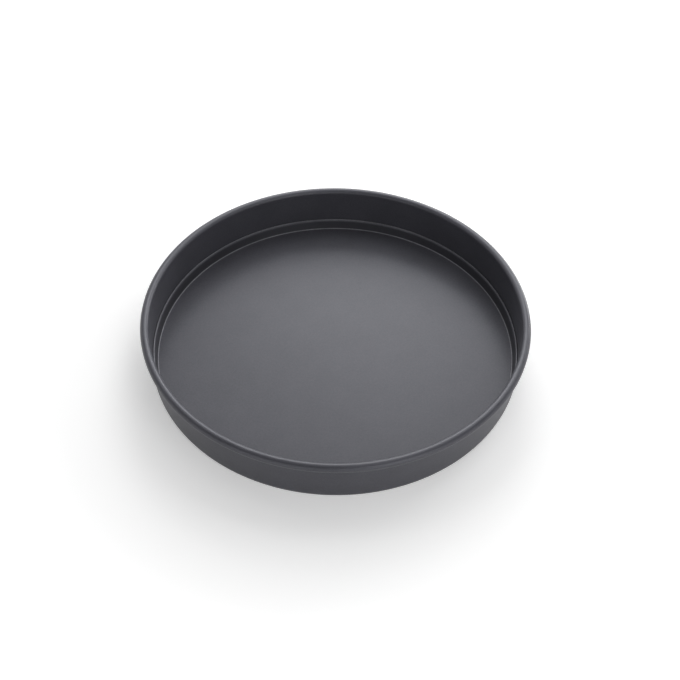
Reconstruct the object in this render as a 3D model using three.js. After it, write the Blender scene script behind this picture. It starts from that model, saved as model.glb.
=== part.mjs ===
// A round cake pan with a loose base: a side ring with a wired, rolled rim and an inward ledge at its foot,
// and a shallow dished base that drops onto the ledge and is pushed up and out to free the cake.
// Millimetres, +Z up, origin at the centre of the pan on the surface that it stands on.
import * as THREE from 'three';

// Side ring
const rimRadius = 120; // to the outside of the rolled rim
const panHeight = 34; // from the table to the top of the rim
const ringSheet = 1; // thickness of the sheet that the ring is rolled from
const footRadius = 4.8; // outside of the bend from the wall into the ledge
const ledgeWidth = 8; // from the inside of the wall to the edge of the opening

// Wired rim
const wireDiameter = 2.6;
const wireClearance = 0.3; // all round the wire inside the curl
const curlMouth = 0.4; // between the curl's free edge and the wall below the rim

// Loose base
const baseSheet = 0.8; // thickness of the base
const lipHeight = 8; // from the underside of the base to the top of its lip
const lipBend = 0.4; // inside of the bend from the floor into the lip
const lipClearance = 0.15; // between the top of the lip and the wall
const seatGap = 0.3; // between the ledge and the base above it
const nestGap = 0.1; // between the bend of the base and the bend of the foot around it

// Fineness of the round shapes
const facets = 72; // around the pan
const bendStep = 15; // degrees for each step of a bend in the sheet
const curlStep = 22.5; // degrees for each step of the rolled rim
const edgeStep = 30; // degrees for each step of the lip's rounded edge
const wireSides = 10;

// Finish
const sheetColour = 0x4c4b51;
const sheetRoughness = 0.45;
const sheetMetalness = 0.5;
const wireColour = 0x9b9da0;
const wireRoughness = 0.35;
const wireMetalness = 1;

// Sizes of the rim and the wall that follow from these
const curlInner = wireDiameter / 2 + wireClearance;
const curlOuter = curlInner + ringSheet;
const curlCentre = new THREE.Vector2(rimRadius - curlOuter, panHeight - curlOuter);
const wallInner = rimRadius - 2 * curlOuter;
const wallOuter = wallInner + ringSheet;
const footCentre = new THREE.Vector2(wallOuter - footRadius, footRadius);

// Points along an arc, from one angle in degrees to the other, both ends included
function arc(centre, radius, fromDegrees, toDegrees, stepDegrees) {
  const steps = Math.ceil(Math.abs(toDegrees - fromDegrees) / stepDegrees);
  const points = [];
  for (let i = 0; i <= steps; i += 1) {
    const angle = THREE.MathUtils.degToRad(fromDegrees + ((toDegrees - fromDegrees) * i) / steps);
    points.push(new THREE.Vector2(radius * Math.cos(angle), radius * Math.sin(angle)).add(centre));
  }
  return points;
}

// A solid of revolution about +Z, from a profile of radius and height
function turned(profile) {
  return new THREE.LatheGeometry(profile, facets).rotateX(Math.PI / 2);
}

// One face of the rolled rim, from the wall over the top and round to the free edge
function curlFace(radius) {
  const freeEdgeAngle = -THREE.MathUtils.radToDeg(Math.acos((curlMouth - curlInner) / curlOuter));
  const overTheTop = arc(curlCentre, radius, 180, 0, curlStep);
  const backToTheWall = arc(curlCentre, radius, 0, freeEdgeAngle, curlStep);
  return [...overTheTop, ...backToTheWall.slice(1)];
}

// Side ring: ledge, foot bend, wall and rolled rim in one folded sheet
function sideRingProfile() {
  const ledgeEdge = wallInner - ledgeWidth;
  return [
    new THREE.Vector2(ledgeEdge, 0),
    ...arc(footCentre, footRadius, -90, 0, bendStep),
    ...curlFace(curlInner),
    ...curlFace(curlOuter).reverse(),
    ...arc(footCentre, footRadius - ringSheet, 0, -90, bendStep),
    new THREE.Vector2(ledgeEdge, ringSheet),
    new THREE.Vector2(ledgeEdge, 0),
  ];
}

// Loose base, with its underside at height zero: the floor is flat until its bend nests in the bend of the foot,
// then a lip leans out until its rounded edge meets the wall
function baseProfile() {
  const edgeRadius = baseSheet / 2;
  const lipTop = new THREE.Vector2(wallInner - lipClearance - edgeRadius, lipHeight - edgeRadius);
  const bendOuter = lipBend + baseSheet;
  const nestRadius = footRadius - ringSheet - nestGap - bendOuter;
  const nestDepth = footCentre.y - ringSheet - seatGap - bendOuter;
  const bendCentre = new THREE.Vector2(footCentre.x + Math.sqrt(nestRadius ** 2 - nestDepth ** 2), bendOuter);
  const reach = lipTop.clone().sub(bendCentre);
  const lean = THREE.MathUtils.radToDeg(Math.acos((lipBend + edgeRadius) / reach.length()) - reach.angle());
  return [
    new THREE.Vector2(0, 0),
    ...arc(bendCentre, bendOuter, -90, -lean, bendStep),
    ...arc(lipTop, edgeRadius, -lean, 180 - lean, edgeStep),
    ...arc(bendCentre, lipBend, -lean, -90, bendStep),
    new THREE.Vector2(0, baseSheet),
  ];
}

// Dark grey satin finish of the sheet pieces
function sheetFinish() {
  return new THREE.MeshStandardMaterial({
    color: sheetColour,
    roughness: sheetRoughness,
    metalness: sheetMetalness,
  });
}

// Bare drawn wire
function wireFinish() {
  return new THREE.MeshStandardMaterial({
    color: wireColour,
    roughness: wireRoughness,
    metalness: wireMetalness,
  });
}

const sideRing = new THREE.Mesh(turned(sideRingProfile()), sheetFinish());
sideRing.name = 'side_ring';

const wireCircle = new THREE.TorusGeometry(curlCentre.x, wireDiameter / 2, wireSides, facets);
const rimWire = new THREE.Mesh(wireCircle, wireFinish());
rimWire.name = 'rim_wire';
rimWire.position.z = curlCentre.y;

const looseBase = new THREE.Mesh(turned(baseProfile()), sheetFinish());
looseBase.name = 'loose_base';
looseBase.position.z = ringSheet + seatGap;

// The ring and its wire stay together, and the base lifts out of them
const ringAssembly = new THREE.Group();
ringAssembly.add(sideRing, rimWire);

const cakePan = new THREE.Group();
cakePan.add(ringAssembly, looseBase);

export default cakePan;
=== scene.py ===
import math

import bmesh
import bpy
from mathutils import Matrix, Vector


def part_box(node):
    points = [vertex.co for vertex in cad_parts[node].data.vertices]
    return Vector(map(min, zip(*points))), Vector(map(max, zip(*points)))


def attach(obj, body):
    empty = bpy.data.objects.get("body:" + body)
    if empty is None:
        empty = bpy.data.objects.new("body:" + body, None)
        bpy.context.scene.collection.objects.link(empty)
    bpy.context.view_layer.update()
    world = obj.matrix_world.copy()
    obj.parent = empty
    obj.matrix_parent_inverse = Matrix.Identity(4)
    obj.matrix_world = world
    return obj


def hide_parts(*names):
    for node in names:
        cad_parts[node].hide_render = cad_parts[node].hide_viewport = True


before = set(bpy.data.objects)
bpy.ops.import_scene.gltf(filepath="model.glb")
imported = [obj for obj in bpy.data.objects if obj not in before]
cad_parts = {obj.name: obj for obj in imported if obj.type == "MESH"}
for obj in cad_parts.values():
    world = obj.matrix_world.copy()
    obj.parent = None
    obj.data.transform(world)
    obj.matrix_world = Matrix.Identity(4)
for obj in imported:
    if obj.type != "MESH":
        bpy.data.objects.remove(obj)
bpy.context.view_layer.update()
mm = 0.001
tiny = 1e-9  # metres, less than this counts as nothing
scene = bpy.context.scene
scene.view_settings.view_transform = "Standard"
print("frame loaded:", ", ".join(sorted(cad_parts)))


def addObject(name, data):
    made = bpy.data.objects.new(name, data)
    scene.collection.objects.link(made)
    return made


# outlines are (radius, height) points in metres, turned about the pan's axis

def arc(centre, radius, fromAngle, toAngle, step):  # angles in degrees, both ends included
    count = max(1, math.ceil(abs(toAngle - fromAngle) / step))
    points = []
    for i in range(count + 1):
        angle = math.radians(fromAngle + (toAngle - fromAngle) * i / count)
        points.append((centre[0] + radius * math.cos(angle), centre[1] + radius * math.sin(angle)))
    return points


def fillStraights(points, spacing, hold):  # rows along the flats, one held close to each bend
    filled = [points[0]]
    for start, end in zip(points, points[1:]):
        length = math.dist(start, end)
        shares = []
        if length > 4 * hold:  # shorter ones are steps of a bend
            count = max(1, round(length / spacing))
            shares = [hold / length, *[i / count for i in range(1, count)], 1 - hold / length]
        for share in shares:
            filled.append(tuple(a + (b - a) * share for a, b in zip(start, end)))
        filled.append(end)
    return filled


# a closed outline makes a ring, an open one starts on the axis and may end on it
def turnOutline(name, outline, around):
    closed = outline[0][0] > 0
    rows = outline[:-1] if closed and math.dist(outline[0], outline[-1]) < tiny else outline
    mesh = bmesh.new()
    loops = []
    for radius, height in rows:
        if radius < tiny:
            loops.append([mesh.verts.new((0, 0, height))] * around)
            continue
        loop = []
        for i in range(around):
            angle = 2 * math.pi * i / around
            loop.append(mesh.verts.new((radius * math.cos(angle), radius * math.sin(angle), height)))
        loops.append(loop)
    pairs = list(zip(loops, loops[1:]))
    if closed:
        pairs.append((loops[-1], loops[0]))
    for low, high in pairs:
        for i in range(around):
            j = (i + 1) % around
            corners = []
            for vert in (low[i], low[j], high[j], high[i]):
                if vert not in corners:  # the four become three on the axis
                    corners.append(vert)
            mesh.faces.new(corners).smooth = True
    bmesh.ops.recalc_face_normals(mesh, faces=mesh.faces)
    data = bpy.data.meshes.new(name)
    mesh.to_mesh(data)
    mesh.free()
    return addObject(name, data)


# shader maths: a socket that takes part in Python sums

class Sock:
    def __init__(self, net, socket):
        self.net = net
        self.socket = socket

    def sum(self, operation, left, right):
        return self.net.add("ShaderNodeMath", {"operation": operation}, {0: left, 1: right})["Value"]

    def __add__(self, other):
        return self.sum("ADD", self, other)

    def __radd__(self, other):
        return self.sum("ADD", other, self)

    def __sub__(self, other):
        return self.sum("SUBTRACT", self, other)

    def __rsub__(self, other):
        return self.sum("SUBTRACT", other, self)

    def __mul__(self, other):
        return self.sum("MULTIPLY", self, other)

    def __rmul__(self, other):
        return self.sum("MULTIPLY", other, self)

    def __pow__(self, other):
        return self.sum("POWER", self, other)

    def __rpow__(self, other):
        return self.sum("POWER", other, self)


class Net:
    def __init__(self, tree):
        self.tree = tree
        tree.nodes.clear()

    def add(self, kind, settings=None, sockets=None):
        node = self.tree.nodes.new(kind)
        for name, value in (settings or {}).items():
            setattr(node, name, value)
        for key, value in (sockets or {}).items():
            if isinstance(key, int):
                target = node.inputs[key]
            else:
                target = next(s for s in node.inputs if s.enabled and s.name == key)
            if isinstance(value, Sock):
                self.tree.links.new(value.socket, target)
            else:
                target.default_value = value
        return {out.name: Sock(self, out) for out in node.outputs if out.enabled}

    def spot(self):  # the place on the piece, its distance from the pan's axis and its height
        place = self.add("ShaderNodeTexCoord")["Object"]
        parts = self.add("ShaderNodeSeparateXYZ", {}, {"Vector": place})
        return place, (parts["X"] * parts["X"] + parts["Y"] * parts["Y"]) ** 0.5, parts["Z"]

    def noise(self, place, size, detail=2.0, roughness=0.5):  # size is the width of a speck in metres
        sockets = {"Vector": place, "Scale": 1 / size, "Detail": detail, "Roughness": roughness}
        return self.add("ShaderNodeTexNoise", {"noise_dimensions": "3D"}, sockets)["Fac"]

    def ease(self, value, low, high):  # 0 below low, 1 above high, smooth between
        sockets = {"Value": value, "From Min": low, "From Max": high}
        return self.add("ShaderNodeMapRange", {"interpolation_type": "SMOOTHSTEP"}, sockets)["Result"]

    def mix(self, share, first, second):
        sockets = {"Factor": share, "A": first, "B": second}
        return self.add("ShaderNodeMix", {"data_type": "RGBA"}, sockets)["Result"]

    def bump(self, relief, depth):  # a relief of 0 to 1 stands up to depth metres high
        return self.add("ShaderNodeBump", {}, {"Strength": 1.0, "Distance": depth, "Height": relief})["Normal"]

    def finish(self, surface):
        self.add("ShaderNodeOutputMaterial", {}, {"Surface": surface})


def newMaterial(name):
    material = bpy.data.materials.new(name)
    material.use_nodes = True
    return material, Net(material.node_tree)


def blend(noises, shares):  # the named noises, each times its share
    first, *rest = [noises[name] * share for name, share in shares.items()]
    return sum(rest, first)


# hard-anodised sheet: dark satin grey with a fine grain, faint turning lines, a paler rubbed rim crest,
# painted highlights on the loose base and painted shade
anodised = {
    "dark": (0.060, 0.060, 0.071, 1),
    "pale": (0.080, 0.080, 0.0945, 1),
    # painted shade colour, laid on by the shade masks
    "shaded": (0.020, 0.020, 0.024, 1),
    "toneShares": {"cloud": 0.35, "grain": 0.5, "turning": 0.15},
    "toneSpan": (0.3, 0.7),  # noise at which the sheet is dark and pale
    "wearShares": {"cloud": 0.5, "grain": 0.5},
    "wearSpan": (0.4, 0.62),  # noise at which the wear and painted highlight are thinnest and full
    "leastWear": 0.65,
    "roughness": 0.43,
    "roughShares": {"cloud": 0.5, "turning": 0.3, "grain": 0.2},
    "roughSpread": 0.06,
    "rubbedSmoother": 0.06,  # taken off the roughness where the wear and highlight mask is
    "ior": 1.50,
    "glossTint": (0.92, 0.935, 1, 1),
    "cloudSize": 22 * mm,
    "cloudDetail": 3,
    "grainSize": 0.9 * mm,
    "turningSize": 0.7 * mm,
    "reliefShares": {"grain": 0.75, "turning": 0.25},
    "grainHeight": 0.02 * mm,
}


# each mask takes the net, the radius and the height, and gives 0 to 1
def anodisedFinish(name, wearAndHighlightMask, wearAndHighlightColour, shadeMask):
    material, net = newMaterial(name)
    place, radius, height = net.spot()
    along = net.add("ShaderNodeCombineXYZ", {}, {"X": radius, "Y": height})["Vector"]
    noises = {
        "cloud": net.noise(place, anodised["cloudSize"], anodised["cloudDetail"]),
        "grain": net.noise(place, anodised["grainSize"]),
        "turning": net.noise(along, anodised["turningSize"]),
    }
    tone = net.ease(blend(noises, anodised["toneShares"]), *anodised["toneSpan"])
    wear = net.ease(blend(noises, anodised["wearShares"]), *anodised["wearSpan"])
    least = anodised["leastWear"]
    # wear and painted highlight: the rim's rubbed crest, and painted highlights along the loose base's lip
    # edge and floor corner
    wearAndHighlight = wearAndHighlightMask(net, radius, height) * (least + (1 - least) * wear)
    plain = net.mix(tone, anodised["dark"], anodised["pale"])
    # painted shade wherever the shade mask is
    shaded = net.mix(shadeMask(net, radius, height), plain, anodised["shaded"])
    uneven = blend(noises, anodised["roughShares"]) - 0.5  # noise is centred on a half
    rough = anodised["roughness"] + anodised["roughSpread"] * uneven - wearAndHighlight * anodised["rubbedSmoother"]
    shader = {
        "Base Color": net.mix(wearAndHighlight, shaded, wearAndHighlightColour),
        "Roughness": rough,
        "Normal": net.bump(blend(noises, anodised["reliefShares"]), anodised["grainHeight"]),
        "IOR": anodised["ior"],
        "Specular Tint": anodised["glossTint"],
    }
    net.finish(net.add("ShaderNodeBsdfPrincipled", {}, shader)["BSDF"])
    return material


# side ring: ledge, foot bend, wall and rolled rim folded from one sheet
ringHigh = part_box("side_ring")[1]
wireLow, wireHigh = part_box("rim_wire")
baseLow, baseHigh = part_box("loose_base")
sideRing = {
    "sheet": 1.0 * mm,
    "footRadius": 4.8 * mm,
    "ledgeWidth": 8.0 * mm,
    "curlMouth": 0.4 * mm,
    "around": 288,
    "ledgeEdgeStep": 15,  # the steps along each bend are in degrees
    "footStep": 5,
    "curlInsideStep": 8,
    "freeEdgeStep": 20,
    "curlStep": 6,
    "footInsideStep": 6,
    "rowSpacing": 4 * mm,
    "rowHold": 0.35 * mm,
    "wearAndHighlight": (0.085, 0.085, 0.100, 1),
    "rubbedSpan": (1.6 * mm, 0.32 * mm),  # below the top of the rim, where the rub starts and is full
    "shade": 0.5,
    "shadeFade": 1 * mm,
}
rimRadius = ringHigh.x
panHeight = ringHigh.z
curlHeight = (wireLow.z + wireHigh.z) / 2
curlOuter = panHeight - curlHeight
curlInner = curlOuter - sideRing["sheet"]
curlCentre = (rimRadius - curlOuter, curlHeight)
wallInner = rimRadius - 2 * curlOuter
wallMiddle = wallInner + sideRing["sheet"] / 2
wallOuter = wallInner + sideRing["sheet"]
footInner = sideRing["footRadius"] - sideRing["sheet"]
footCentre = (wallOuter - sideRing["footRadius"], sideRing["footRadius"])


def sideRingOutline():
    edge = sideRing["sheet"] / 2
    curlMiddle = curlInner + edge
    ledgeEdge = (wallInner - sideRing["ledgeWidth"] + edge, edge)
    mouth = math.degrees(math.acos((sideRing["curlMouth"] - curlInner) / curlOuter))
    freeEdge = math.degrees(edge / curlMiddle) - mouth  # the rounded end stops where the CAD sheet does
    freeAngle = math.radians(freeEdge)
    freeAlong = (curlMiddle * math.cos(freeAngle), curlMiddle * math.sin(freeAngle))
    freeCentre = (curlCentre[0] + freeAlong[0], curlCentre[1] + freeAlong[1])
    points = [
        *arc(ledgeEdge, edge, 90, 270, sideRing["ledgeEdgeStep"]),
        *arc(footCentre, sideRing["footRadius"], -90, 0, sideRing["footStep"]),
        *arc(curlCentre, curlInner, 180, freeEdge, sideRing["curlInsideStep"]),
        *arc(freeCentre, edge, freeEdge + 180, freeEdge + 360, sideRing["freeEdgeStep"])[1:-1],
        *arc(curlCentre, curlOuter, freeEdge, 180, sideRing["curlStep"]),
        *arc(footCentre, footInner, 0, -90, sideRing["footInsideStep"]),
    ]
    points.append(points[0])
    return fillStraights(points, sideRing["rowSpacing"], sideRing["rowHold"])


def rimRub(net, radius, height):  # handling polishes the crest of the rim
    start, full = sideRing["rubbedSpan"]
    return net.ease(height, panHeight - start, panHeight - full)


def footShade(net, radius, height):  # painted shade on the inside of the foot, below the lip, in the gap behind the base
    inside = 1 - net.ease(radius, wallInner, wallMiddle)
    low = 1 - net.ease(height, baseHigh.z - sideRing["shadeFade"], baseHigh.z)
    return inside * low * sideRing["shade"]


ringPiece = turnOutline("sideRing", sideRingOutline(), sideRing["around"])
ringPiece.data.materials.append(anodisedFinish("anodisedRing", rimRub, sideRing["wearAndHighlight"], footShade))
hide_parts("side_ring")
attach(ringPiece, "ring")
print("side ring:", len(ringPiece.data.polygons), "faces")


# loose base: a flat floor with an upturned lip
looseBase = {
    "sheet": 0.8 * mm,
    "lipBend": 0.4 * mm,
    "nestGap": 0.1 * mm,
    "around": 288,
    "bendStep": 6,  # the steps along each bend are in degrees
    "lipEdgeStep": 15,
    "bendInsideStep": 7.5,
    "rowSpacing": 6 * mm,
    "rowHold": 0.3 * mm,
    # painted highlight colour for the lip's edge and the floor's corner
    "wearAndHighlight": (0.36, 0.36, 0.39, 1),
    "edgeHighlight": 0.40,
    "edgeHighlightDepth": 1.8 * mm,
    "cornerHighlight": 0.6,
    "cornerHighlightReach": 0.12 * mm,
    "cornerHighlightHeight": 0.24 * mm,
    "shade": 0.7,
    "shadeSpan": (2.16 * mm, 1.08 * mm),  # below the top of the lip, where the shade is full and ends
}
bendOuter = looseBase["lipBend"] + looseBase["sheet"]
nestRadius = footInner - looseBase["nestGap"] - bendOuter
nestDepth = footCentre[1] - baseLow.z - bendOuter
bendCentre = (footCentre[0] + math.sqrt(nestRadius ** 2 - nestDepth ** 2), baseLow.z + bendOuter)


def looseBaseOutline():
    edge = looseBase["sheet"] / 2
    bend = looseBase["lipBend"]
    lipTop = (baseHigh.x - edge, baseHigh.z - edge)
    reach = (lipTop[0] - bendCentre[0], lipTop[1] - bendCentre[1])
    lean = math.degrees(math.acos((bend + edge) / math.hypot(*reach)) - math.atan2(reach[1], reach[0]))
    points = [
        (0, baseLow.z),
        *arc(bendCentre, bendOuter, -90, -lean, looseBase["bendStep"]),
        *arc(lipTop, edge, -lean, 180 - lean, looseBase["lipEdgeStep"]),
        *arc(bendCentre, bend, -lean, -90, looseBase["bendInsideStep"]),
        (0, baseLow.z + looseBase["sheet"]),
    ]
    return fillStraights(points, looseBase["rowSpacing"], looseBase["rowHold"])


def lipHighlight(net, radius, height):  # painted highlights along the lip's edge and the floor's corner, made uneven like wear
    reach = looseBase["cornerHighlightReach"]
    edge = net.ease(height, baseHigh.z - looseBase["edgeHighlightDepth"], baseHigh.z)
    inner = net.ease(radius, bendCentre[0] - reach, bendCentre[0] + reach)
    low = 1 - net.ease(height, bendCentre[1], bendCentre[1] + looseBase["cornerHighlightHeight"])
    return edge * looseBase["edgeHighlight"] + inner * low * looseBase["cornerHighlight"]


def lipShade(net, radius, height):  # painted shade on the face of the lip, between its edge and the floor's corner
    full, end = looseBase["shadeSpan"]
    above = net.ease(height, bendCentre[1], bendCentre[1] + looseBase["lipBend"])
    below = 1 - net.ease(height, baseHigh.z - full, baseHigh.z - end)
    return above * below * looseBase["shade"]


basePiece = turnOutline("looseBase", looseBaseOutline(), looseBase["around"])
basePiece.data.materials.append(anodisedFinish("anodisedBase", lipHighlight, looseBase["wearAndHighlight"], lipShade))
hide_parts("loose_base")
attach(basePiece, "base")
print("loose base:", len(basePiece.data.polygons), "faces")


# rim wire: drawn steel inside the curl
rimWire = {
    "sides": 20,
    "around": 180,
    "dark": (0.36, 0.36, 0.37, 1),
    "pale": (0.52, 0.52, 0.53, 1),
    "roughness": 0.28,
    "roughSpread": 0.2,
    "drawSize": 3 * mm,
    "drawDetail": 4,
    "drawRoughness": 0.6,
    "drawHeight": 0.01 * mm,
}


def wireFinish():
    material, net = newMaterial("drawnSteel")
    place = net.add("ShaderNodeTexCoord")["Object"]
    draw = net.noise(place, rimWire["drawSize"], rimWire["drawDetail"], rimWire["drawRoughness"])
    shader = {
        "Base Color": net.mix(draw, rimWire["dark"], rimWire["pale"]),
        "Metallic": 1.0,
        "Roughness": rimWire["roughness"] + draw * rimWire["roughSpread"],
        "Normal": net.bump(draw, rimWire["drawHeight"]),
    }
    net.finish(net.add("ShaderNodeBsdfPrincipled", {}, shader)["BSDF"])
    return material


wireRadius = wireHigh.x - curlCentre[0]
wireOutline = arc(curlCentre, wireRadius, 0, 360, 360 / rimWire["sides"])
wirePiece = turnOutline("rimWire", wireOutline, rimWire["around"])
wirePiece.data.materials.append(wireFinish())
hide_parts("rim_wire")
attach(wirePiece, "ring")
print("rim wire:", len(wirePiece.data.polygons), "faces")


# camera: the photograph's view
photoView = {
    "target": (0, 0, 12 * mm),
    "distance": 673.8 * mm,
    "elevation": 46.95,
    "roll": 0.665,
    "lens": 56.46,
    "shift": (0.00665, -0.0079),
}


def makeCamera():
    data = bpy.data.cameras.new("photoCamera")
    data.lens = photoView["lens"]
    data.shift_x, data.shift_y = photoView["shift"]
    camera = addObject("photoCamera", data)
    rise = math.radians(photoView["elevation"])
    back = Vector((0, -math.cos(rise), math.sin(rise)))
    place = Matrix.Translation(Vector(photoView["target"]) + back * photoView["distance"])
    aim = (-back).to_track_quat("-Z", "Y").to_matrix().to_4x4()
    camera.matrix_world = place @ aim @ Matrix.Rotation(math.radians(photoView["roll"]), 4, "Z")
    scene.camera = camera


makeCamera()
print("camera set")


# studio: a pale sweep of floor and backdrop under soft boxes, the main one behind the pan
studio = {
    "floorColour": (0.85, 0.85, 0.85, 1),
    "floorLift": 0.40,  # lifts the ground to white, less beside the pan so that its shadow stays
    "backdropLift": 0.85,
    "liftSpan": (0.15, 0.30),  # metres from the axis, where the first lift ends and the second is full
    "sweepRadius": 2.4,
    "sweepBend": 0.8,
    "sweepBendStep": 6,
    "sweepHeight": 1.2,
    "sweepAround": 96,
    "fill": (0.02, 0.02, 0.02, 1),
    "boxAway": 0.7,
    "boxes": [
        {"name": "backBox", "turn": 3, "rise": 34, "size": (0.40, 0.36), "glow": 4.5},
        {"name": "backLeftBox", "turn": -32, "rise": 34, "size": (0.36, 0.36), "glow": 0.3},
        {"name": "lowRightBox", "turn": 44, "rise": 12, "size": (0.30, 0.24), "glow": 5.0},
        {"name": "topRightBox", "turn": 35, "rise": 56, "size": (0.60, 0.34), "glow": 2.5},
        {"name": "topLeftBox", "turn": -45, "rise": 56, "size": (0.50, 0.34), "glow": 1.5},
        {"name": "overBox", "turn": 120, "rise": 76, "size": (0.32, 0.32), "glow": 1.2},
        {"name": "frontRightBox", "turn": 150, "rise": 25, "size": (0.34, 0.56), "glow": 2.1},
        {"name": "frontLeftBox", "turn": 212, "rise": 14, "size": (0.40, 0.30), "glow": 0.8},
    ],
}


def floorFinish():
    material, net = newMaterial("paleFloor")
    path = net.add("ShaderNodeLightPath")
    seen = path["Is Camera Ray"] + path["Is Glossy Ray"] + path["Is Transmission Ray"]
    away = net.ease(net.spot()[1], *studio["liftSpan"])
    strength = studio["floorLift"] + (studio["backdropLift"] - studio["floorLift"]) * away
    black, white = (0, 0, 0, 1), (1, 1, 1, 1)
    glow = net.mix(net.ease(seen, 0, 1) * strength, black, white)
    matt = net.add("ShaderNodeBsdfDiffuse", {}, {"Color": studio["floorColour"]})["BSDF"]
    lift = net.add("ShaderNodeEmission", {}, {"Color": glow})["Emission"]
    net.finish(net.add("ShaderNodeAddShader", {}, {0: matt, 1: lift})["Shader"])
    return material


def makeSweep():
    bend = studio["sweepBend"]
    edge = studio["sweepRadius"]
    turn = arc((edge - bend, bend), bend, -90, 0, studio["sweepBendStep"])
    sweep = turnOutline("paleSweep", [(0, 0), *turn, (edge, studio["sweepHeight"])], studio["sweepAround"])
    sweep.data.flip_normals()
    sweep.data.materials.append(floorFinish())


def makeFill():
    world = bpy.data.worlds.new("studioFill")
    world.use_nodes = True
    net = Net(world.node_tree)
    glow = net.add("ShaderNodeBackground", {}, {"Color": studio["fill"]})["Background"]
    net.add("ShaderNodeOutputWorld", {}, {"Surface": glow})
    scene.world = world


def makeBox(box):  # turn goes round from behind the pan to its right, rise is up from the floor
    data = bpy.data.lights.new(box["name"], "AREA")
    data.shape = "RECTANGLE"
    data.size, data.size_y = box["size"]
    data.energy = box["glow"] * math.pi * data.size * data.size_y
    lamp = addObject(box["name"], data)
    turn, rise = math.radians(box["turn"]), math.radians(box["rise"])
    toward = Vector((math.sin(turn) * math.cos(rise), math.cos(turn) * math.cos(rise), math.sin(rise)))
    aim = toward.to_track_quat("Z", "Y").to_matrix().to_4x4()
    lamp.matrix_world = Matrix.Translation(toward * studio["boxAway"]) @ aim
    lamp.visible_camera = False


makeSweep()
makeFill()
for softBox in studio["boxes"]:
    makeBox(softBox)
print("studio lit")
